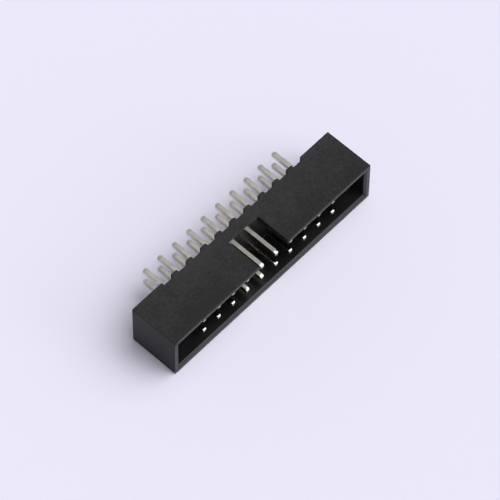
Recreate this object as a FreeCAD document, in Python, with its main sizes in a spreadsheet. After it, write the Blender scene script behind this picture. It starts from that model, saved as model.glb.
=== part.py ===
"""Shrouded pin header for a flat ribbon cable, two rows of square pins in a moulded box.

The header lies as it would on a bench. X runs along the rows, the open mouth faces -Y, the
solder tails point to +Y, and the wall with the key slot is on top, towards +Z. The origin is
the centre of the seat that rests on the circuit board. Lengths are in millimetres.
"""
import FreeCAD, Part
import Sketcher
import os

# Every size that can be chosen by itself, with what it measures.
SIZES = [
    ("pitch", 2.0, "from pin to pin, along the rows and between them"),
    ("column_count", 10, "pins in each row"),
    ("end_margin", 4.65, "from the last pin's axis to the end face of the box"),
    ("box_height", 5.6, "from the board seat to the rim of the mouth"),
    ("box_thickness", 5.6, "across the two rows, outside to outside"),
    ("wall", 0.7, "long walls of the cavity"),
    ("end_wall", 0.65, "end walls of the cavity"),
    ("base", 1.6, "from the board seat to the cavity floor, where the key slot ends too"),
    ("edge_round", 0.08, "outer edges of the box and of the key slot"),
    ("lead_in", 0.22, "chamfer inside the rim of the mouth"),
    ("key_width", 4.0, "key slot in the top wall"),
    ("groove_width", 1.15, "wash groove across the seat at each pair of pins"),
    ("groove_depth", 0.35, "wash groove, up from the board seat"),
    ("groove_flare", 0.1, "chamfer on the lips of a wash groove"),
    ("pin_width", 0.5, "side of the square pin"),
    ("pin_fit", 0.0, "gap on each side of a pin in its hole, none for a press fit"),
    ("tip_width", 0.34, "side of the flat at a mating tip"),
    ("tip_length", 0.22, "taper of a mating tip"),
    ("tip_recess", 0.5, "from the rim of the mouth in to the mating tips"),
    ("tail_length", 2.95, "solder tail below the board seat"),
    ("tail_end_width", 0.34, "side of the flat at a solder tail's end"),
    ("tail_end_length", 0.2, "taper of a solder tail's end"),
]

ROW_LENGTH = "(sizes.column_count - 1) * sizes.pitch"
BOX_LENGTH = "(sizes.column_count - 1) * sizes.pitch + 2 * sizes.end_margin"

doc = FreeCAD.newDocument("box_header")
sheet = doc.addObject("Spreadsheet::Sheet", "sizes")
for line, (alias, value, meaning) in enumerate(SIZES, start=1):
    sheet.set(f"A{line}", meaning)
    sheet.set(f"B{line}", str(value))
    sheet.setAlias(f"B{line}", alias)
doc.recompute()


def add_body(name):
    """Adds an empty body whose label names the piece."""
    body = doc.addObject("PartDesign::Body", name)
    body.Label = name
    return body


def add_sketch(body, name, plane, offset="0"):
    """Adds a sketch on one of the body's own planes, moved along that plane's normal."""
    sketch = body.newObject("Sketcher::SketchObject", name)
    support = [item for item in body.Origin.OriginFeatures if item.Role == plane][0]
    sketch.AttachmentSupport = (support, [""])
    sketch.MapMode = "FlatFace"
    sketch.setExpression("AttachmentOffset.Base.z", offset)
    return sketch


def add_polygon(sketch, corners):
    """Draws a closed outline and returns the number of its first line."""
    first = sketch.GeometryCount
    count = len(corners)
    for k in range(count):
        start = FreeCAD.Vector(*corners[k], 0)
        end = FreeCAD.Vector(*corners[(k + 1) % count], 0)
        sketch.addGeometry(Part.LineSegment(start, end), False)
    for k in range(count):
        following = first + (k + 1) % count
        sketch.addConstraint(Sketcher.Constraint("Coincident", first + k, 2, following, 1))
    return first


def add_dimension(sketch, constraint, expression):
    """Adds a dimension that follows the sheet."""
    index = sketch.addConstraint(constraint)
    sketch.setExpression(f"Constraints[{index}]", expression)


def add_rectangle(sketch, width, height, left, low):
    """Draws a rectangle from its size and the place of its lower left corner."""
    first = add_polygon(sketch, [(0, 0), (1, 0), (1, 1), (0, 1)])
    for side, direction in enumerate(["Horizontal", "Vertical", "Horizontal", "Vertical"]):
        sketch.addConstraint(Sketcher.Constraint(direction, first + side))
    add_dimension(sketch, Sketcher.Constraint("DistanceX", first, 1, first, 2, 1.0), width)
    add_dimension(sketch, Sketcher.Constraint("DistanceY", first + 1, 1, first + 1, 2, 1.0), height)
    add_dimension(sketch, Sketcher.Constraint("DistanceX", -1, 1, first, 1, 0.0), left)
    add_dimension(sketch, Sketcher.Constraint("DistanceY", -1, 1, first, 1, 0.0), low)


def add_centred_rectangle(sketch, width, height):
    """Draws a rectangle whose middle is the sketch's origin."""
    add_rectangle(sketch, width, height, f"-({width}) / 2", f"-({height}) / 2")


def add_feature(body, kind, name, profile, length, **options):
    """Adds a pad or a pocket of one sketch."""
    feature = body.newObject(f"PartDesign::{kind}", name)
    feature.Profile = profile
    for option, value in options.items():
        setattr(feature, option, value)
    if length:
        feature.setExpression("Length", length)
    profile.Visibility = False
    doc.recompute()
    return feature


def add_row_pattern(body, name, feature):
    """Repeats a feature once for each column of pins."""
    pattern = body.newObject("PartDesign::LinearPattern", name)
    pattern.Originals = [feature]
    axis = [item for item in body.Origin.OriginFeatures if item.Role == "X_Axis"][0]
    pattern.Direction = (axis, [""])
    pattern.setExpression("Length", ROW_LENGTH)
    pattern.setExpression("Occurrences", "sizes.column_count")
    body.Tip = pattern
    doc.recompute()
    return pattern


def edges_where(feature, test):
    """Names the edges of a feature whose middle point passes a test."""
    edges = enumerate(feature.Shape.Edges, start=1)
    return [f"Edge{number}" for number, edge in edges if test(edge.CenterOfMass)]


def add_edge_break(body, kind, name, feature, edges, size):
    """Rounds or chamfers edges of the feature before it."""
    break_ = body.newObject(f"PartDesign::{kind}", name)
    break_.Base = (feature, edges)
    break_.setExpression("Radius" if kind == "Fillet" else "Size", size)
    doc.recompute()
    return break_


def make_housing():
    """Moulds the box: walls, mouth, key slot, wash grooves and the holes for the pins."""
    body = add_body("housing")

    outline = add_sketch(body, "box_outline", "XZ_Plane")
    add_centred_rectangle(outline, BOX_LENGTH, "sizes.box_thickness")
    box = add_feature(body, "Pad", "box", outline, "sizes.box_height")
    every_edge = edges_where(box, lambda middle: True)
    rounded = add_edge_break(body, "Fillet", "outer_edges", box, every_edge, "sizes.edge_round")

    # The cavity opens at the mouth and stops at the base that holds the pins.
    mouth = add_sketch(body, "mouth_outline", "XZ_Plane", "sizes.box_height")
    add_centred_rectangle(mouth, f"{BOX_LENGTH} - 2 * sizes.end_wall", "sizes.box_thickness - 2 * sizes.wall")
    cavity = add_feature(body, "Pocket", "cavity", mouth, "sizes.box_height - sizes.base")
    rim = -sheet.box_height
    half_thickness = sheet.box_thickness / 2
    half_length = (sheet.column_count - 1) * sheet.pitch / 2 + sheet.end_margin

    def on_inner_rim(middle):
        inside_x = abs(middle.x) < half_length - sheet.end_wall + 0.01
        inside_z = abs(middle.z) < half_thickness - sheet.wall + 0.01
        return abs(middle.y - rim) < 0.001 and inside_x and inside_z

    inner_rim = edges_where(cavity, on_inner_rim)
    add_edge_break(body, "Chamfer", "lead_in_chamfer", cavity, inner_rim, "sizes.lead_in")

    # The key slot runs from the rim to the cavity floor, through the top wall only.
    key = add_sketch(body, "key_outline", "XY_Plane", "sizes.box_thickness / 2")
    add_rectangle(key, "sizes.key_width", "sizes.box_height - sizes.base",
                  "-sizes.key_width / 2", "-sizes.box_height")
    slot = add_feature(body, "Pocket", "key_slot", key, "sizes.wall + sizes.lead_in")

    def on_key_edge(middle):
        at_top = abs(middle.z - half_thickness) < 0.001
        beside = abs(middle.x) < sheet.key_width / 2 + 0.001
        return at_top and beside and -sheet.box_height < middle.y < -sheet.base + 0.001

    key_edges = edges_where(slot, on_key_edge)
    add_edge_break(body, "Fillet", "key_edges", slot, key_edges, "sizes.edge_round")

    # Each wash groove crosses the seat below one pair of pins and leaves a rib on each side.
    groove = add_sketch(body, "groove_outline", "XY_Plane")
    lip = "sizes.groove_width / 2 + sizes.groove_flare"
    first = add_polygon(groove, [(-2, 0), (-1, -1), (-1, -2), (1, -2), (1, -1), (2, 0)])
    groove.addConstraint(Sketcher.Constraint("Vertical", first + 1))
    groove.addConstraint(Sketcher.Constraint("Horizontal", first + 2))
    groove.addConstraint(Sketcher.Constraint("Vertical", first + 3))
    groove.addConstraint(Sketcher.Constraint("Horizontal", first + 5))
    groove.addConstraint(Sketcher.Constraint("PointOnObject", first, 1, -1))
    add_dimension(groove, Sketcher.Constraint("DistanceX", -1, 1, first, 1, -2.0),
                  f"-({ROW_LENGTH}) / 2 - ({lip})")
    add_dimension(groove, Sketcher.Constraint("DistanceX", first, 1, first, 2, 1.0), "sizes.groove_flare")
    add_dimension(groove, Sketcher.Constraint("DistanceX", first + 4, 1, first + 4, 2, 1.0),
                  "sizes.groove_flare")
    add_dimension(groove, Sketcher.Constraint("DistanceX", first + 2, 1, first + 2, 2, 2.0),
                  "sizes.groove_width")
    add_dimension(groove, Sketcher.Constraint("DistanceY", first, 2, first, 1, 1.0), "sizes.groove_flare")
    add_dimension(groove, Sketcher.Constraint("DistanceY", first + 4, 1, first + 4, 2, 1.0),
                  "sizes.groove_flare")
    add_dimension(groove, Sketcher.Constraint("DistanceY", first + 1, 2, -1, 1, 2.0), "sizes.groove_depth")
    wash = add_feature(body, "Pocket", "wash_groove", groove, "", Type="ThroughAll", Midplane=True)
    add_row_pattern(body, "wash_grooves", wash)

    # The two holes of the first column, repeated along the rows.
    hole = "sizes.pin_width + 2 * sizes.pin_fit"
    holes = add_sketch(body, "hole_outline", "XZ_Plane")
    for row in ("-sizes.pitch / 2", "sizes.pitch / 2"):
        add_rectangle(holes, hole, hole, f"-({ROW_LENGTH}) / 2 - ({hole}) / 2", f"{row} - ({hole}) / 2")
    pair = add_feature(body, "Pocket", "pin_hole_pair", holes, "sizes.base", Reversed=True)
    add_row_pattern(body, "pin_holes", pair)
    return body


def make_pin(number, column, row):
    """Makes one square pin, tapered at both ends, on its own axis in the box."""
    body = add_body(f"pin_{number:02d}")
    body.setExpression("Placement.Base.x", f"({column} - (sizes.column_count - 1) / 2) * sizes.pitch")
    body.setExpression("Placement.Base.z", f"{row} * sizes.pitch")
    tail_shoulder = "-sizes.tail_length + sizes.tail_end_length"
    tip_shoulder = "sizes.box_height - sizes.tip_recess - sizes.tip_length"
    ends = {
        "tail": (tail_shoulder, "sizes.tail_end_width", "sizes.tail_end_length"),
        "tip": (tip_shoulder, "sizes.tip_width", "sizes.tip_length"),
    }
    sections = {}
    for end, (shoulder, width, length) in ends.items():
        section = add_sketch(body, f"{end}_section_{number:02d}", "XZ_Plane", shoulder)
        add_centred_rectangle(section, "sizes.pin_width", "sizes.pin_width")
        sections[end] = section
    shank_length = f"({tip_shoulder}) - ({tail_shoulder})"
    add_feature(body, "Pad", f"shank_{number:02d}", sections["tail"], shank_length)
    for end, (shoulder, width, length) in ends.items():
        taper = add_feature(body, "Pad", f"{end}_taper_{number:02d}", sections[end], length,
                            Reversed=end == "tail")
        taper.setExpression("TaperAngle", f"atan(({width} - sizes.pin_width) / 2 / {length})")
    doc.recompute()
    return body


def make_pins():
    """Fills both rows, the lower row first, from left to right."""
    pins = []
    for row in (-0.5, 0.5):
        for column in range(int(sheet.column_count)):
            pins.append(make_pin(len(pins) + 1, column, row))
    return pins


pieces = [make_housing()] + make_pins()
doc.recompute()

for item in doc.Objects:
    if "Invalid" in item.State or "Error" in item.State:
        raise RuntimeError(f"{item.Name} did not build: {item.State}")
for piece in pieces:
    if piece.Shape.isNull() or not piece.Shape.isValid():
        raise RuntimeError(f"{piece.Label} has no valid shape")
    if len(piece.Shape.Solids) != 1:
        raise RuntimeError(f"{piece.Label} is not one solid")

os.makedirs("parts", exist_ok=True)
for piece in pieces:
    piece.Shape.exportStep(f"parts/{piece.Label}.step")
    size = piece.Shape.BoundBox
    print(f"{piece.Label}: volume {piece.Shape.Volume:.3f} mm3,"
          f" x {size.XMin:.2f} {size.XMax:.2f}, y {size.YMin:.2f} {size.YMax:.2f},"
          f" z {size.ZMin:.2f} {size.ZMax:.2f}")
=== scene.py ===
"""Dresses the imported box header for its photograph: moulded box, plated pins, floor and light.

The frame is the part's own. X runs along the rows of pins, the mouth faces -Y, the solder
tails point to +Y and the key slot is on top. Sizes here are in millimetres until a mesh is
made, and in metres from then on.
"""
from __future__ import annotations

import logging
import math
from dataclasses import dataclass
from enum import Enum
from itertools import product
from typing import Any, Iterable

import bmesh
import bpy
from mathutils import Matrix, Vector

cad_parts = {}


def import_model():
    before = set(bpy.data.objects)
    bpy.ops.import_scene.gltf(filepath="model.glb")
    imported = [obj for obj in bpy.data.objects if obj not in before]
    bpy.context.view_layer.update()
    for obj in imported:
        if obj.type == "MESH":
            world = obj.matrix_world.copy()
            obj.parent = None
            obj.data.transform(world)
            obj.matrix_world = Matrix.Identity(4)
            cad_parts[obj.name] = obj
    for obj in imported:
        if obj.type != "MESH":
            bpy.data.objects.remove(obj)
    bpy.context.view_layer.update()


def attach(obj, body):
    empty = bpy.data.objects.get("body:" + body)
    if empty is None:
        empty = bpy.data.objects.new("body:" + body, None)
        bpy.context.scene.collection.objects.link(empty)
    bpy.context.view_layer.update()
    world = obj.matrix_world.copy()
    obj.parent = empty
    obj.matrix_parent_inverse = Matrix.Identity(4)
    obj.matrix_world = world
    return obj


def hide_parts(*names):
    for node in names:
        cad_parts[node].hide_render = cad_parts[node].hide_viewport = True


LOG = logging.getLogger("box_header")
MM = 0.001
PHOTO_PIXELS = 500
AXES = range(3)
SAME_CORNER_MM = 1e-6
SAME_PLANE_MM = 1e-4
MIX_FIRST, MIX_SECOND, MIX_RESULT = 6, 7, 2
NOISE_LOW, NOISE_HIGH = 0.3, 0.7
BEVEL_WEIGHT = "bevel_weight_edge"

Cell = tuple[int, ...]
Cuts = tuple[list[float], list[float], list[float]]


def linear_colour(code: str) -> tuple[float, float, float, float]:
    """Turns an sRGB hex code to a linear colour.

    Args:
        code: Six hex digits with a leading hash.

    Returns:
        Red, green, blue and an alpha of one.
    """
    parts = [int(code[i:i + 2], 16) / 255 for i in (1, 3, 5)]
    red, green, blue = (p / 12.92 if p <= 0.04045 else ((p + 0.055) / 1.055) ** 2.4 for p in parts)
    return red, green, blue, 1.0


def direction(azimuth: float, elevation: float) -> Vector:
    """Points from the part to a place around it.

    Args:
        azimuth: Degrees round the part, from the mouth's side.
        elevation: Degrees above the floor.

    Returns:
        The direction, of length one.
    """
    turn, rise = math.radians(azimuth), math.radians(elevation)
    return Vector((math.sin(turn) * math.cos(rise), -math.cos(turn) * math.cos(rise), math.sin(rise)))


def add_node(
    tree: bpy.types.NodeTree,
    kind: str,
    settings: dict[str | int, Any] | None = None,
    links: dict[str | int, bpy.types.NodeSocket] | None = None,
) -> bpy.types.Node:
    """Adds one shader node.

    Args:
        tree: The tree that gets the node.
        kind: The node's type name.
        settings: Properties by name, or values of inputs by name or number.
        links: Output sockets to join to inputs, by the input's name or number.

    Returns:
        The new node.
    """
    node = tree.nodes.new(kind)
    for name, value in (settings or {}).items():
        if isinstance(name, int) or name in node.inputs.keys():
            node.inputs[name].default_value = value
        else:
            setattr(node, name, value)
    for name, socket in (links or {}).items():
        tree.links.new(socket, node.inputs[name])
    return node


def new_material(name: str) -> tuple[bpy.types.Material, bpy.types.NodeTree]:
    """Makes an empty material.

    Args:
        name: The material's name.

    Returns:
        The material and its node tree.
    """
    material = bpy.data.materials.new(name)
    material.use_nodes = True
    material.node_tree.nodes.clear()
    return material, material.node_tree


@dataclass(frozen=True)
class MouldedPbt:
    """Black glass-filled PBT, injection moulded in a spark-eroded tool.

    To the eye it is a near black with a dull satin sheen that turns pale at a low angle, with a
    faint even grain from the tool and slow flow clouds. Painted light makes it paler from the
    mouth towards the seat, so the rear looks more lit.
    """

    name: str = "black PBT, moulded in an eroded tool"
    colour: str = "#0b0b0c"
    flow_colour: str = "#272728"
    tone_from: float = 0.10
    tone_to: float = 0.60
    painted_light_per_mm: float = 0.07
    roughness: float = 0.62
    smoother_by: float = 0.05
    rougher_by: float = 0.07
    refraction: float = 1.41
    grain_mm: float = 0.24
    grain_detail: float = 3.0
    grain_breakup: float = 0.6
    grain_share: float = 1.1
    grain_height_mm: float = 0.006
    grain_strength: float = 0.5
    cloud_mm: float = 3.0
    cloud_detail: float = 4.0
    cloud_breakup: float = 0.55

    def material(self) -> bpy.types.Material:
        """Builds the node material.

        Returns:
            The material.
        """
        material, tree = new_material(self.name)
        place = add_node(tree, "ShaderNodeTexCoord").outputs["Object"]
        # The tool's grain is about 0.03 mm. It is drawn eight times as coarse so that it shows.
        grain = add_node(tree, "ShaderNodeTexNoise", {
            "Scale": 1 / (self.grain_mm * MM),
            "Detail": self.grain_detail,
            "Roughness": self.grain_breakup,
        }, {"Vector": place})
        cloud = add_node(tree, "ShaderNodeTexNoise", {
            "Scale": 1 / (self.cloud_mm * MM),
            "Detail": self.cloud_detail,
            "Roughness": self.cloud_breakup,
        }, {"Vector": place})
        along = add_node(tree, "ShaderNodeSeparateXYZ", links={"Vector": place})
        # Painted light: the colour grows paler from the mouth towards the seat, a share per mm along Y.
        level = add_node(tree, "ShaderNodeMath", {
            "operation": "MULTIPLY_ADD", 1: self.painted_light_per_mm / MM,
        }, {0: along.outputs["Y"], 2: cloud.outputs["Fac"]})
        speckled = add_node(tree, "ShaderNodeMath", {
            "operation": "MULTIPLY_ADD", 1: self.grain_share,
        }, {0: grain.outputs["Fac"], 2: level.outputs["Value"]})
        # The grain is one half on average, so the range moves up by half of its share.
        tone = add_node(tree, "ShaderNodeMapRange", {
            "From Min": self.tone_from + self.grain_share / 2,
            "From Max": self.tone_to + self.grain_share / 2,
        }, {"Value": speckled.outputs["Value"]})
        colour = add_node(tree, "ShaderNodeMix", {
            "data_type": "RGBA",
            MIX_FIRST: linear_colour(self.colour),
            MIX_SECOND: linear_colour(self.flow_colour),
        }, {"Factor": tone.outputs["Result"]})
        gloss = add_node(tree, "ShaderNodeMapRange", {
            "From Min": NOISE_LOW,
            "From Max": NOISE_HIGH,
            "To Min": self.roughness - self.smoother_by,
            "To Max": self.roughness + self.rougher_by,
        }, {"Value": cloud.outputs["Fac"]})
        bump = add_node(tree, "ShaderNodeBump", {
            "Strength": self.grain_strength, "Distance": self.grain_height_mm * MM,
        }, {"Height": grain.outputs["Fac"]})
        shader = add_node(tree, "ShaderNodeBsdfPrincipled", {"IOR": self.refraction}, {
            "Base Color": colour.outputs[MIX_RESULT],
            "Roughness": gloss.outputs["Result"],
            "Normal": bump.outputs["Normal"],
        })
        add_node(tree, "ShaderNodeOutputMaterial", links={"Surface": shader.outputs["BSDF"]})
        return material


@dataclass(frozen=True)
class TinPlatedBrass:
    """Brass wire, drawn square and plated with tin.

    To the eye it is a pale warm silver with faint draw lines. The mating part is bright and
    mirrors the dark box, and the solder tail is paler and a little duller. Painted shade darkens
    the tail's point.
    """

    name: str = "tin-plated brass, drawn"
    bright_colour: str = "#c4c0b7"
    bright_roughness: float = 0.12
    tail_colour: str = "#dfdbd2"
    tail_roughness: float = 0.22
    tail_from: float = -1.6
    tail_to: float = 0.0
    painted_shade_from: float = 2.50
    painted_shade_to: float = 2.70
    painted_shade_share: float = 0.78
    line_mm: float = 0.05
    line_detail: float = 2.0
    line_stretch: float = 0.06
    line_height_mm: float = 0.003
    line_strength: float = 0.3
    smoother_by: float = 0.03
    rougher_by: float = 0.05
    patch_mm: float = 1.2
    patch_detail: float = 3.0
    patch_from: float = 0.4
    patch_to: float = 0.7
    patch_share: float = 0.82

    def material(self) -> bpy.types.Material:
        """Builds the node material.

        Returns:
            The material.
        """
        material, tree = new_material(self.name)
        place = add_node(tree, "ShaderNodeTexCoord").outputs["Object"]
        stretched = add_node(tree, "ShaderNodeMapping", {
            "Scale": (1.0, self.line_stretch, 1.0),
        }, {"Vector": place})
        lines = add_node(tree, "ShaderNodeTexNoise", {
            "Scale": 1 / (self.line_mm * MM), "Detail": self.line_detail,
        }, {"Vector": stretched.outputs["Vector"]})
        patches = add_node(tree, "ShaderNodeTexNoise", {
            "Scale": 1 / (self.patch_mm * MM), "Detail": self.patch_detail,
        }, {"Vector": place})
        along = add_node(tree, "ShaderNodeSeparateXYZ", links={"Vector": place})
        tail = add_node(tree, "ShaderNodeMapRange", {
            "From Min": self.tail_from * MM, "From Max": self.tail_to * MM,
        }, {"Value": along.outputs["Y"]})
        plating = add_node(tree, "ShaderNodeMix", {
            "data_type": "RGBA",
            MIX_FIRST: linear_colour(self.bright_colour),
            MIX_SECOND: linear_colour(self.tail_colour),
        }, {"Factor": tail.outputs["Result"]})
        patchy = add_node(tree, "ShaderNodeMapRange", {
            "From Min": self.patch_from,
            "From Max": self.patch_to,
            "To Min": 1.0,
            "To Max": self.patch_share,
        }, {"Value": patches.outputs["Fac"]})
        # Painted shade: the tail's point is darkened to a share of its colour, from a place along Y on.
        painted_point_shade = add_node(tree, "ShaderNodeMapRange", {
            "From Min": self.painted_shade_from * MM,
            "From Max": self.painted_shade_to * MM,
            "To Min": 1.0,
            "To Max": self.painted_shade_share,
        }, {"Value": along.outputs["Y"]})
        share = add_node(tree, "ShaderNodeMath", {"operation": "MULTIPLY"}, {
            0: patchy.outputs["Result"], 1: painted_point_shade.outputs["Result"],
        })
        colour = add_node(tree, "ShaderNodeVectorMath", {"operation": "SCALE"}, {
            "Vector": plating.outputs[MIX_RESULT], "Scale": share.outputs["Value"],
        })
        dullness = add_node(tree, "ShaderNodeMapRange", {
            "To Min": self.bright_roughness, "To Max": self.tail_roughness,
        }, {"Value": tail.outputs["Result"]})
        streaks = add_node(tree, "ShaderNodeMapRange", {
            "From Min": NOISE_LOW,
            "From Max": NOISE_HIGH,
            "To Min": -self.smoother_by,
            "To Max": self.rougher_by,
        }, {"Value": lines.outputs["Fac"]})
        gloss = add_node(tree, "ShaderNodeMath", {"operation": "ADD"}, {
            0: dullness.outputs["Result"], 1: streaks.outputs["Result"],
        })
        bump = add_node(tree, "ShaderNodeBump", {
            "Strength": self.line_strength, "Distance": self.line_height_mm * MM,
        }, {"Height": lines.outputs["Fac"]})
        shader = add_node(tree, "ShaderNodeBsdfPrincipled", {"Metallic": 1.0}, {
            "Base Color": colour.outputs["Vector"],
            "Roughness": gloss.outputs["Value"],
            "Normal": bump.outputs["Normal"],
        })
        add_node(tree, "ShaderNodeOutputMaterial", links={"Surface": shader.outputs["BSDF"]})
        return material


@dataclass(frozen=True)
class SweepPaper:
    """Pale lilac paper under the part, uncoated.

    To the eye it is even and has no shine. Its fibres lie in clumps of about 0.6 mm that hardly
    stand out.
    """

    name: str = "pale paper, matt"
    colour: str = "#e5e3f1"
    roughness: float = 0.95
    specular_level: float = 0.1
    fibre_mm: float = 0.6
    fibre_detail: float = 4.0
    fibre_height_mm: float = 0.01
    fibre_strength: float = 0.05

    def material(self) -> bpy.types.Material:
        """Builds the node material.

        Returns:
            The material.
        """
        material, tree = new_material(self.name)
        place = add_node(tree, "ShaderNodeTexCoord").outputs["Object"]
        fibre = add_node(tree, "ShaderNodeTexNoise", {
            "Scale": 1 / (self.fibre_mm * MM), "Detail": self.fibre_detail,
        }, {"Vector": place})
        bump = add_node(tree, "ShaderNodeBump", {
            "Strength": self.fibre_strength, "Distance": self.fibre_height_mm * MM,
        }, {"Height": fibre.outputs["Fac"]})
        shader = add_node(tree, "ShaderNodeBsdfPrincipled", {
            "Base Color": linear_colour(self.colour),
            "Roughness": self.roughness,
            "Specular IOR Level": self.specular_level,
        }, {"Normal": bump.outputs["Normal"]})
        add_node(tree, "ShaderNodeOutputMaterial", links={"Surface": shader.outputs["BSDF"]})
        return material


class EdgeBreak(Enum):
    """How far an edge of the moulding is rounded, in millimetres."""

    LEAD_IN = 0.03
    OUTER = 0.08
    INNER = 0.05
    NONE = 0.0


class ToolSide(Enum):
    """Which part of the mould shaped a face, by the number of its finish."""

    SHELL = 0
    PLATE = 1
    CORE = 2


def place_object(name: str, data: bpy.types.ID) -> bpy.types.Object:
    """Puts a mesh or a camera in the scene.

    Args:
        name: The object's name.
        data: The mesh or camera.

    Returns:
        The new object.
    """
    placed = bpy.data.objects.new(name, data)
    bpy.context.scene.collection.objects.link(placed)
    return placed


def place_mesh(
    name: str,
    work: bmesh.types.BMesh,
    finishes: list[bpy.types.Material],
) -> bpy.types.Object:
    """Turns a working mesh in millimetres to an object in metres.

    Args:
        name: The object's name.
        work: The mesh, which is used up.
        finishes: The materials that the faces' numbers stand for.

    Returns:
        The new object, linked to the scene.
    """
    work.transform(Matrix.Scale(MM, 4))
    mesh = bpy.data.meshes.new(name)
    work.to_mesh(mesh)
    work.free()
    for finish in finishes:
        mesh.materials.append(finish)
    return place_object(name, mesh)


def round_edges(piece: bpy.types.Object, widest_mm: float) -> None:
    """Rounds a piece's weighted edges.

    Args:
        piece: The piece. Its bevel weights are shares of the widest edge break.
        widest_mm: The edge break of an edge whose weight is one.
    """
    rounding = piece.modifiers.new("edge breaks", "BEVEL")
    rounding.limit_method = "WEIGHT"
    rounding.width = widest_mm * MM
    rounding.segments = 3
    rounding.use_clamp_overlap = True
    # The large faces keep their own direction, so that they mirror the room as flat faces do.
    flat = piece.modifiers.new("flat faces", "WEIGHTED_NORMAL")
    flat.mode = "FACE_AREA"
    flat.weight = 100
    flat.keep_sharp = True


def smooth_mesh(work: bmesh.types.BMesh) -> None:
    """Turns every face outwards and shades it smooth.

    Args:
        work: The mesh.
    """
    bmesh.ops.recalc_face_normals(work, faces=work.faces)
    for face in work.faces:
        face.smooth = True


def wall_corners(cell: Cell, axis: int, side: int) -> list[Cell]:
    """Walks round one wall of a cell.

    Args:
        cell: The cell's number along each axis.
        axis: The axis that the wall stands across.
        side: One for the wall at the cell's far side, zero for the near one.

    Returns:
        The wall's four corners, by their numbers along each axis.
    """
    corners = []
    for u, v in ((0, 0), (1, 0), (1, 1), (0, 1)):
        index = list(cell)
        index[axis] += side
        index[(axis + 1) % 3] += u
        index[(axis + 2) % 3] += v
        corners.append(tuple(index))
    return corners


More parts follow.
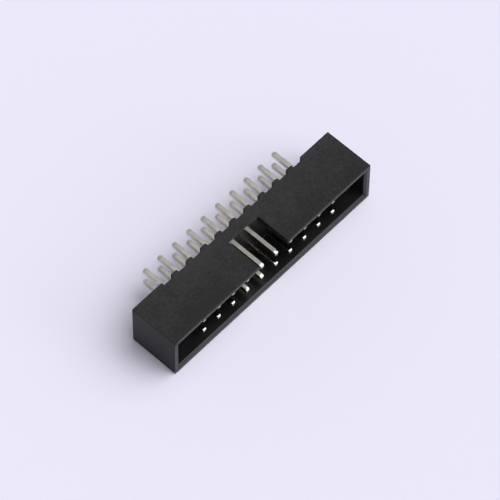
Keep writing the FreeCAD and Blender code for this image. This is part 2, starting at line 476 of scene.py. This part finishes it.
@dataclass
class Housing:
    """The moulded box: walls, mouth, key slot, base and wash grooves."""

    pitch: float = 2.0
    columns: int = 10
    length: float = 27.3
    height: float = 5.6
    thickness: float = 5.6
    wall: float = 0.7
    end_wall: float = 0.65
    base: float = 1.6
    lead_in: float = 0.22
    key_width: float = 4.0
    groove_width: float = 1.15
    groove_depth: float = 0.35
    groove_flare: float = 0.1
    flat_degrees: float = 1.0
    seam_degrees: float = 15.0
    slope_share: float = 0.3
    shell_finish: MouldedPbt = MouldedPbt()
    plate_finish: MouldedPbt = MouldedPbt(
        name="black PBT, from a ground plate",
        roughness=0.40,
        refraction=1.46,
        grain_height_mm=0.002,
    )
    core_finish: MouldedPbt = MouldedPbt(
        name="black PBT, from a smooth core",
        colour="#151516",
        flow_colour="#202021",
        roughness=0.30,
        refraction=1.42,
        grain_height_mm=0.001,
    )

    def column_centres(self) -> list[float]:
        """Gives the X of each pair of pins."""
        return [(k - (self.columns - 1) / 2) * self.pitch for k in range(self.columns)]

    def is_solid(self, x: float, y: float, z: float) -> bool:
        """Says if there is plastic at a point.

        Args:
            x: Place along the rows.
            y: Place from the mouth, below zero, to the board seat, zero.
            z: Place across the rows.

        Returns:
            True inside the walls, the base or a rib.
        """
        half_x, half_z = self.length / 2, self.thickness / 2
        if abs(x) > half_x or abs(z) > half_z or not -self.height < y < 0:
            return False
        if abs(x) < half_x - self.end_wall and abs(z) < half_z - self.wall and y < -self.base:
            return False
        if abs(x) < self.key_width / 2 and z > half_z - self.wall and y < -self.base:
            return False
        in_groove = any(abs(x - c) < self.groove_width / 2 for c in self.column_centres())
        return not (in_groove and y > -self.groove_depth)

    def cuts(self) -> Cuts:
        """Lists where the walls, slot and grooves begin and end along each axis.

        Returns:
            Sorted places along X, Y and Z.
        """
        half_x, half_z = self.length / 2, self.thickness / 2
        xs = {s * v for s in (-1, 1) for v in (half_x, half_x - self.end_wall, self.key_width / 2)}
        xs |= {c + s * self.groove_width / 2 for c in self.column_centres() for s in (-1, 1)}
        ys = {-self.height, -self.height + self.lead_in, -self.base}
        ys |= {-self.groove_depth, -self.groove_flare, 0.0}
        zs = {s * v for s in (-1, 1) for v in (half_z, half_z - self.wall)}
        return sorted(xs), sorted(ys), sorted(zs)

    def is_filled(self, cuts: Cuts, cell: Cell) -> bool:
        """Says if a cell between the cuts is plastic.

        Args:
            cuts: Sorted places along X, Y and Z.
            cell: The cell's number along each axis.

        Returns:
            True if its middle is solid, and never for a cell outside the cuts.
        """
        if any(not 0 <= cell[a] < len(cuts[a]) - 1 for a in AXES):
            return False
        return self.is_solid(*((cuts[a][cell[a]] + cuts[a][cell[a] + 1]) / 2 for a in AXES))

    def shifted(self, corner: Vector) -> Vector:
        """Moves a corner outwards where it lies on the lead-in or on a groove's lip.

        Args:
            corner: A corner of the plain shape.

        Returns:
            The corner of the chamfered shape.
        """
        near = SAME_CORNER_MM
        inner_x, inner_z = self.length / 2 - self.end_wall, self.thickness / 2 - self.wall
        moved = corner.copy()
        if abs(corner.y + self.height) < near:
            if abs(abs(corner.x) - inner_x) < near and abs(corner.z) < inner_z + near:
                moved.x = math.copysign(inner_x + self.lead_in, corner.x)
            if abs(abs(corner.z) - inner_z) < near and abs(corner.x) < inner_x + near:
                moved.z = math.copysign(inner_z + self.lead_in, corner.z)
        if abs(corner.y) < near:
            for centre in self.column_centres():
                if abs(abs(corner.x - centre) - self.groove_width / 2) < near:
                    moved.x = corner.x + math.copysign(self.groove_flare, corner.x - centre)
        return moved

    def outer_mesh(self) -> bmesh.types.BMesh:
        """Walks the cells between the cuts and keeps each wall between plastic and air.

        Returns:
            The closed shape in millimetres.
        """
        cuts = self.cuts()
        work = bmesh.new()
        known: dict[Cell, bmesh.types.BMVert] = {}
        for cell in product(*(range(len(places) - 1) for places in cuts)):
            if not self.is_filled(cuts, cell):
                continue
            for axis, side in product(AXES, (0, 1)):
                beyond = list(cell)
                beyond[axis] += 2 * side - 1
                if self.is_filled(cuts, tuple(beyond)):
                    continue
                ring = []
                for index in wall_corners(cell, axis, side):
                    if index not in known:
                        known[index] = work.verts.new([cuts[a][index[a]] for a in AXES])
                    ring.append(known[index])
                work.faces.new(ring if side else ring[::-1])
        for vert in work.verts:
            vert.co = self.shifted(vert.co)
        bmesh.ops.dissolve_limit(
            work,
            angle_limit=math.radians(self.flat_degrees),
            verts=work.verts,
            edges=work.edges,
            use_dissolve_boundaries=False,
        )
        return work

    def is_lead_in(self, face: bmesh.types.BMFace) -> bool:
        """Says if a face is one of the slopes that lead into the mouth.

        Args:
            face: A face of the plain shape.

        Returns:
            True for a slope at the mouth.
        """
        depth = face.calc_center_median().y + self.height
        return 0.0 < depth < self.lead_in and abs(face.normal.y) > self.slope_share

    def edge_break(self, edge: bmesh.types.BMEdge) -> EdgeBreak:
        """Chooses how much an edge is rounded.

        Args:
            edge: An edge of the plain shape.

        Returns:
            The edge break, none on a flat seam.
        """
        if len(edge.link_faces) != 2 or edge.calc_face_angle(0.0) < math.radians(self.seam_degrees):
            return EdgeBreak.NONE
        if any(self.is_lead_in(face) for face in edge.link_faces):
            return EdgeBreak.LEAD_IN
        near = SAME_PLANE_MM
        middle = (edge.verts[0].co + edge.verts[1].co) / 2
        on_top = abs(middle.z - self.thickness / 2) < near
        if on_top and abs(middle.x) < self.key_width / 2 + near and middle.y < -self.base + near:
            return EdgeBreak.OUTER
        outer_sides = (
            abs(abs(middle.x) - self.length / 2) < near,
            abs(abs(middle.z) - self.thickness / 2) < near,
            abs(middle.y + self.height) < near or abs(middle.y) < near,
        )
        return EdgeBreak.OUTER if sum(outer_sides) >= 2 else EdgeBreak.INNER

    def tool_side(self, face: bmesh.types.BMFace) -> ToolSide:
        """Chooses which part of the mould shaped a face.

        Args:
            face: A face of the plain shape.

        Returns:
            The plate for the rim and lead-in, the core inside the mouth and key slot, or the shell.
        """
        near = SAME_PLANE_MM
        middle = face.calc_center_median()
        if middle.y < -self.height + near or self.is_lead_in(face):
            return ToolSide.PLATE
        in_mouth = abs(middle.x) < self.length / 2 - self.end_wall + near
        in_height = abs(middle.z) < self.thickness / 2 - self.wall + near
        in_slot = abs(middle.x) < self.key_width / 2 + near and 0 < middle.z < self.thickness / 2 - near
        if in_mouth and (in_height or in_slot) and middle.y < -self.base + near:
            return ToolSide.CORE
        return ToolSide.SHELL

    def build(self) -> bpy.types.Object:
        """Makes the box and lets it stand for the plain solid.

        Returns:
            The box.
        """
        work = self.outer_mesh()
        weights = work.edges.layers.float.new(BEVEL_WEIGHT)
        widest = max(size.value for size in EdgeBreak)
        for edge in work.edges:
            edge[weights] = self.edge_break(edge).value / widest
        for face in work.faces:
            face.material_index = self.tool_side(face).value
        smooth_mesh(work)
        finishes = [f.material() for f in (self.shell_finish, self.plate_finish, self.core_finish)]
        piece = place_mesh("moulded_box", work, finishes)
        round_edges(piece, widest)
        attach(piece, "root")
        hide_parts("housing")
        return piece


@dataclass
class ContactPins:
    """Both rows of square pins, each from its mating tip to its solder tail."""

    pitch: float = 2.0
    columns: int = 10
    width: float = 0.5
    mating_end: float = -5.10
    tip_width: float = 0.34
    tip_length: float = 0.22
    swell_place: float = 0.45
    swell_share: float = 0.6
    shoulder_place: float = 1.8
    shoulder_inset: float = 0.02
    tail_end: float = 2.95
    tail_end_width: float = 0.34
    tail_end_length: float = 0.20
    corner_round: float = 0.05
    round_degrees: float = 45.0
    crisp_degrees: float = 20.0
    finish: TinPlatedBrass = TinPlatedBrass()

    def stations(self) -> list[tuple[float, float]]:
        """Lists the pin's width along its axis.

        Returns:
            Pairs of a place along Y and the width there.
        """
        swell = self.tip_width + self.swell_share * (self.width - self.tip_width)
        return [
            (self.mating_end, self.tip_width),
            (self.mating_end + self.swell_place * self.tip_length, swell),
            (self.mating_end + self.tip_length, self.width - self.shoulder_inset),
            (self.mating_end + self.shoulder_place * self.tip_length, self.width),
            (self.tail_end - self.tail_end_length, self.width),
            (self.tail_end, self.tail_end_width),
        ]

    def pin_mesh(self, x: float, z: float) -> bmesh.types.BMesh:
        """Draws one pin as rings of four corners along its axis.

        Args:
            x: The axis's place along the rows.
            z: The axis's place across the rows.

        Returns:
            The closed shape in millimetres.
        """
        work = bmesh.new()
        rings = []
        for y, width in self.stations():
            half = width / 2
            rings.append([
                work.verts.new((x + sx * half, y, z + sz * half))
                for sx, sz in ((-1, -1), (1, -1), (1, 1), (-1, 1))
            ])
        for near, far in zip(rings, rings[1:]):
            for k in range(4):
                following = (k + 1) % 4
                work.faces.new((near[k], near[following], far[following], far[k]))
        work.faces.new(rings[0][::-1])
        work.faces.new(rings[-1])
        work.normal_update()
        weights = work.edges.layers.float.new(BEVEL_WEIGHT)
        for edge in work.edges:
            angle = math.degrees(edge.calc_face_angle(0.0))
            edge[weights] = float(angle > self.round_degrees)
            # The tail's cut point keeps its crisp facets.
            edge.smooth = not self.crisp_degrees < angle <= self.round_degrees
        smooth_mesh(work)
        return work

    def build(self) -> list[bpy.types.Object]:
        """Makes every pin and lets it stand for its plain solid.

        Returns:
            The pins, the lower row first.
        """
        material = self.finish.material()
        pins = []
        for row, column in product((-0.5, 0.5), range(self.columns)):
            number = len(pins) + 1
            x = (column - (self.columns - 1) / 2) * self.pitch
            work = self.pin_mesh(x, row * self.pitch)
            pin = place_mesh(f"plated_pin_{number:02d}", work, [material])
            round_edges(pin, self.corner_round)
            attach(pin, "root")
            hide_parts(f"pin_{number:02d}")
            pins.append(pin)
        return pins


@dataclass(frozen=True)
class SoftLight:
    """A soft round light drawn in the room, so it is as even over the floor as one far away.

    Its angles are in degrees. It is at full strength within the inner one and fades to the outer.
    """

    azimuth: float
    elevation: float
    inner: float
    outer: float
    strength: float
    colour: str = "#ffffff"

    def glow(self, tree: bpy.types.NodeTree, view: bpy.types.NodeSocket) -> bpy.types.Node:
        """Draws the light.

        Args:
            tree: The room's node tree.
            view: The direction that is looked at.

        Returns:
            The light by itself, to be added to the room.
        """
        cosine = add_node(tree, "ShaderNodeVectorMath", {
            "operation": "DOT_PRODUCT", 1: direction(self.azimuth, self.elevation),
        }, {0: view})
        angle = add_node(tree, "ShaderNodeMath", {"operation": "ARCCOSINE"}, {
            0: cosine.outputs["Value"],
        })
        fade = add_node(tree, "ShaderNodeMapRange", {
            "From Min": math.radians(self.outer),
            "From Max": math.radians(self.inner),
            "To Max": self.strength,
        }, {"Value": angle.outputs["Value"]})
        return add_node(tree, "ShaderNodeBackground", {"Color": linear_colour(self.colour)}, {
            "Strength": fade.outputs["Result"],
        })


@dataclass
class Studio:
    """The pale floor, and a dim room with a broad lamp over the mouth side and a low pale card."""

    floor_z: float = -2.8
    floor_side: float = 6000.0
    lamp: SoftLight = SoftLight(azimuth=43.0, elevation=60.4, inner=6.0, outer=46.0, strength=4.65)
    card: SoftLight = SoftLight(
        azimuth=24.0, elevation=18.0, inner=4.0, outer=16.0, strength=3.4, colour="#ebe8ff",
    )
    room_strength: float = 0.06
    backdrop_strength: float = 0.80
    backdrop_colour: str = "#f4f2ff"
    backdrop_top: float = 0.52
    backdrop_full: float = 0.26
    paper: SweepPaper = SweepPaper()

    def add_floor(self) -> bpy.types.Object:
        """Lays the floor under the part.

        Returns:
            The floor.
        """
        work = bmesh.new()
        half = self.floor_side / 2
        corners = ((-half, -half), (half, -half), (half, half), (-half, half))
        work.faces.new([work.verts.new((x, y, self.floor_z)) for x, y in corners])
        floor = place_mesh("floor", work, [self.paper.material()])
        return floor

    def light_room(self) -> None:
        """Draws the lamp, the card, the dim ceiling and the pale backdrop near the horizon."""
        world = bpy.data.worlds.new("room")
        world.use_nodes = True
        tree = world.node_tree
        tree.nodes.clear()
        view = add_node(tree, "ShaderNodeTexCoord").outputs["Generated"]
        height = add_node(tree, "ShaderNodeSeparateXYZ", links={"Vector": view})
        backdrop = add_node(tree, "ShaderNodeMapRange", {
            "From Min": self.backdrop_top,
            "From Max": self.backdrop_full,
            "To Min": self.room_strength,
            "To Max": self.backdrop_strength,
        }, {"Value": height.outputs["Z"]})
        room = add_node(tree, "ShaderNodeBackground", {
            "Color": linear_colour(self.backdrop_colour),
        }, {"Strength": backdrop.outputs["Result"]})
        for light in (self.lamp, self.card):
            room = add_node(tree, "ShaderNodeAddShader", links={
                0: room.outputs[0], 1: light.glow(tree, view).outputs[0],
            })
        add_node(tree, "ShaderNodeOutputWorld", links={"Surface": room.outputs[0]})
        bpy.context.scene.world = world

    def build(self) -> bpy.types.Object:
        """Lays the floor and sets the light.

        Returns:
            The floor.
        """
        floor = self.add_floor()
        self.light_room()
        bpy.context.scene.view_settings.view_transform = "Standard"
        return floor


@dataclass
class PhotoCamera:
    """A long lens far off, which is how nearly parallel the photograph's edges are."""

    aim: tuple[float, float, float] = (0.316, -2.208, -0.754)
    distance: float = 383.8
    azimuth: float = -47.47
    elevation: float = 59.10
    roll: float = 0.62
    focal_pixels: float = 4000.0
    sensor: float = 36.0
    nearest_metres: float = 0.01
    farthest_metres: float = 5.0

    def build(self) -> bpy.types.Object:
        """Sets up the camera and makes it the scene's.

        Returns:
            The camera.
        """
        turn, roll = math.radians(self.azimuth), math.radians(self.roll)
        back = direction(self.azimuth, self.elevation)
        right = Vector((math.cos(turn), math.sin(turn), 0.0))
        rolled = right * math.cos(roll) + back.cross(right) * math.sin(roll)
        data = bpy.data.cameras.new("camera")
        data.sensor_width = self.sensor
        data.lens = self.sensor * self.focal_pixels / PHOTO_PIXELS
        data.clip_start = self.nearest_metres
        data.clip_end = self.farthest_metres
        camera = place_object("camera", data)
        place = Vector(self.aim) + back * self.distance
        facing = Matrix((rolled, back.cross(rolled), back)).transposed().to_4x4()
        camera.matrix_world = Matrix.Translation(place * MM) @ facing
        bpy.context.scene.camera = camera
        return camera


def main() -> None:
    """Builds the pieces in order and reports each."""
    logging.basicConfig(level=logging.INFO, format="%(name)s: %(message)s")
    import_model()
    housing = Housing().build()
    LOG.info("%s: %d faces", housing.name, len(housing.data.polygons))
    for pin in ContactPins().build():
        LOG.info("%s: %d faces", pin.name, len(pin.data.polygons))
    floor = Studio().build()
    LOG.info("%s: laid, and the room is lit", floor.name)
    camera = PhotoCamera().build()
    LOG.info("%s: lens %.0f mm", camera.name, camera.data.lens)


if __name__ == "__main__":
    main()
